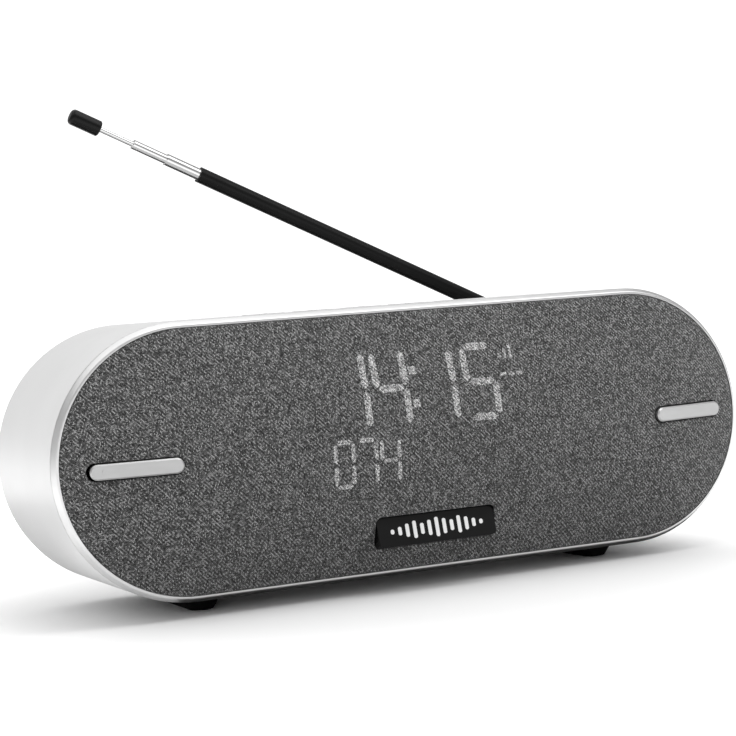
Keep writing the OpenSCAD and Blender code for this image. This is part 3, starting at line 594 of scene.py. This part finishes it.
def make_case_screws():
    """The eight rear screws, turned, with a cross recess sunk in each head."""
    low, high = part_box("case_screws")
    face, tip, depth = high.y, low.y, 0.7 * MM
    turned = [
        (2.5, face), (2.7, face - 0.06 * MM), (2.8, face - 0.25 * MM), (2.8, SCREW_HEAD_BACK),
        (1.2, SCREW_HEAD_BACK), (1.2, tip), (0.1, tip),
    ]
    count, long, half = 32, 1.55 * MM, 0.36 * MM
    arm = [(long, -half), (long, half), (half, half)]
    cross = []
    for quarter in range(4):
        turn = Matrix.Rotation(math.pi / 2 * quarter, 2)
        cross += [turn @ Vector(spot) for spot in arm]
    angles = [2 * math.pi * i / count for i in range(count)]
    rim = [Vector((turned[0][0] * MM * math.cos(a), turned[0][0] * MM * math.sin(a))) for a in angles]
    loop = [count + i for i in range(len(cross))]
    flat, _, triangles, _, _, sources = delaunay_2d_cdt(rim + cross, [], [loop], 0, 1e-7)
    vertices, faces = [], []
    for side in (-1, 1):
        for x, z in SCREW_SPOTS:
            centre = Vector((side * x * MM, 0, mid_z + z * MM))
            first = len(vertices)
            vertices += [centre + Vector((p.x, face, p.y)) for p in flat]
            faces += [[first + i for i in reversed(t)] for t, source in zip(triangles, sources) if not source]
            first = len(vertices)
            vertices += [centre + Vector((p.x, y, p.y)) for y in (face, face - depth) for p in cross]
            faces.append([first + len(cross) + i for i in reversed(range(len(cross)))])
            for i in range(len(cross)):
                j = (i + 1) % len(cross)
                faces.append([first + j, first + i, first + len(cross) + i, first + len(cross) + j])
            first = len(vertices)
            for r, y in turned:
                vertices += [centre + Vector((r * MM * math.cos(a), y, r * MM * math.sin(a))) for a in angles]
            for k in range(len(turned) - 1):
                for i in range(count):
                    j = (i + 1) % count
                    here, there = first + k * count, first + (k + 1) * count
                    faces.append([here + i, here + j, there + j, there + i])
    screws = make_piece("case_screws_turned", vertices, faces, smooth=False)
    screws.data.materials.append(materials["screw_steel"])
    screws.modifiers.new("smooth", "NODES").node_group = smoother
    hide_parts("case_screws")


# ---------- studio ----------


def make_area_light(name, place, target, size, power):
    """A soft rectangular light aimed at a point."""
    data = bpy.data.lights.new(name, "AREA")
    data.shape = "RECTANGLE"
    data.size, data.size_y = size
    data.energy = power
    light = bpy.data.objects.new(name, data)
    light.location = place
    light.rotation_euler = (Vector(target) - Vector(place)).to_track_quat("-Z", "Y").to_euler()
    scene.collection.objects.link(light)


def make_stage_piece(name, vertices, faces, shader):
    """A floor or backdrop that isn't part of the radio."""
    mesh = bpy.data.meshes.new(name)
    mesh.from_pydata(vertices, [], faces)
    mesh.materials.append(shader.material)
    piece = bpy.data.objects.new(name, mesh)
    scene.collection.objects.link(piece)
    return piece


def make_floor():
    """White floor with a painted glow that rises away from the radio, so the floor round the radio is painted
    darker and the glow lights the radio from below.
    """
    half = 7.0
    shader = Shader("floor", Roughness=0.9, Specular_IOR_Level=0.0, Emission_Color=(1, 1, 1, 1))
    mottled(shader, grey(0.88), grey(0.90), 3)
    distance = shader.add("ShaderNodeVectorMath", {0: shader.place()}, operation="LENGTH")
    # Painted light: the floor's emission is zero near the radio and climbs to 0.85 further out.
    painted_floor_glow = shader.add("ShaderNodeMapRange", {
        "Value": distance.outputs["Value"], "From Min": 0.10, "From Max": 0.32, "To Min": 0.0, "To Max": 0.85,
    }, interpolation_type="SMOOTHSTEP")
    shader.set("Emission Strength", painted_floor_glow.outputs[0])
    corners = [(-half, -half, 0), (half, -half, 0), (half, half, 0), (-half, half, 0)]
    make_stage_piece("floor", corners, [(0, 1, 2, 3)], shader)


def make_backdrop():
    """White dome round the set that the camera sees and that lights nothing."""
    rings, columns, radius = 12, 24, 6.5
    vertices = [
        (radius * math.cos(a) * math.cos(b), radius * math.sin(a) * math.cos(b), radius * math.sin(b) - 0.5)
        for b in (math.pi / 2 * j / rings for j in range(rings + 1))
        for a in (2 * math.pi * i / columns for i in range(columns))
    ]
    faces = []
    for low_ring in range(0, rings * columns, columns):
        high_ring = low_ring + columns
        for i in range(columns):
            j = (i + 1) % columns
            faces.append((low_ring + i, low_ring + j, high_ring + j, high_ring + i))
    shader = Shader("backdrop", Base_Color=(0, 0, 0, 1), Emission_Color=(1, 1, 1, 1), Emission_Strength=1.2)
    dome = make_stage_piece("backdrop", vertices, faces, shader)
    for kind in ("diffuse", "glossy", "transmission", "volume_scatter", "shadow"):
        setattr(dome, "visible_" + kind, False)


def make_painted_reflection_card():
    """Painted reflection: a dark card under and behind the radio, seen by glossy surfaces alone, that paints
    the dark line along metal.
    """
    outline = [(-0.10, -0.05), (0.145, -0.05), (0.145, 0.27), (-0.22, 0.27), (-0.22, 0.06), (-0.10, 0.06)]
    corners = [(x, y, 0.0005) for x, y in outline]
    shader = Shader("painted_reflection_card", Base_Color=(*grey(0.06), 1))
    card = make_stage_piece("painted_reflection_card", corners, [tuple(range(len(corners)))], shader)
    # Painted reflection: the card is hidden from the camera, diffuse light and shadows, so it shows only in
    # reflections.
    for kind in ("camera", "diffuse", "transmission", "volume_scatter", "shadow"):
        setattr(card, "visible_" + kind, False)


def make_world():
    """Even grey surround, so that metal has something darker than the soft boxes to reflect."""
    world = bpy.data.worlds.new("studio")
    world.use_nodes = True
    background = world.node_tree.nodes["Background"]
    background.inputs["Color"].default_value = (1, 1, 1, 1)
    background.inputs["Strength"].default_value = 0.50
    scene.world = world


def make_studio():
    """White floor and surround, a key light from the front right and softer ones above and to the left."""
    make_floor()
    make_backdrop()
    make_world()
    make_area_light("key_soft_box", (0.45, -0.50, 1.15), (0, 0, 0.05), (1.0, 1.0), 8.6)
    make_area_light("top_soft_box", (-0.18, 0.20, 1.1), (0, 0, 0.05), (1.8, 1.2), 6.8)
    make_area_light("left_soft_box", (-1.2, -0.3, 0.26), (-0.14, 0, 0.05), (1.4, 0.5), 0.4)
    make_painted_reflection_card()
    scene.view_settings.view_transform = "Standard"


finish_cad_nodes()
make_cloth()
make_button_prints()
make_case_screws()
make_studio()
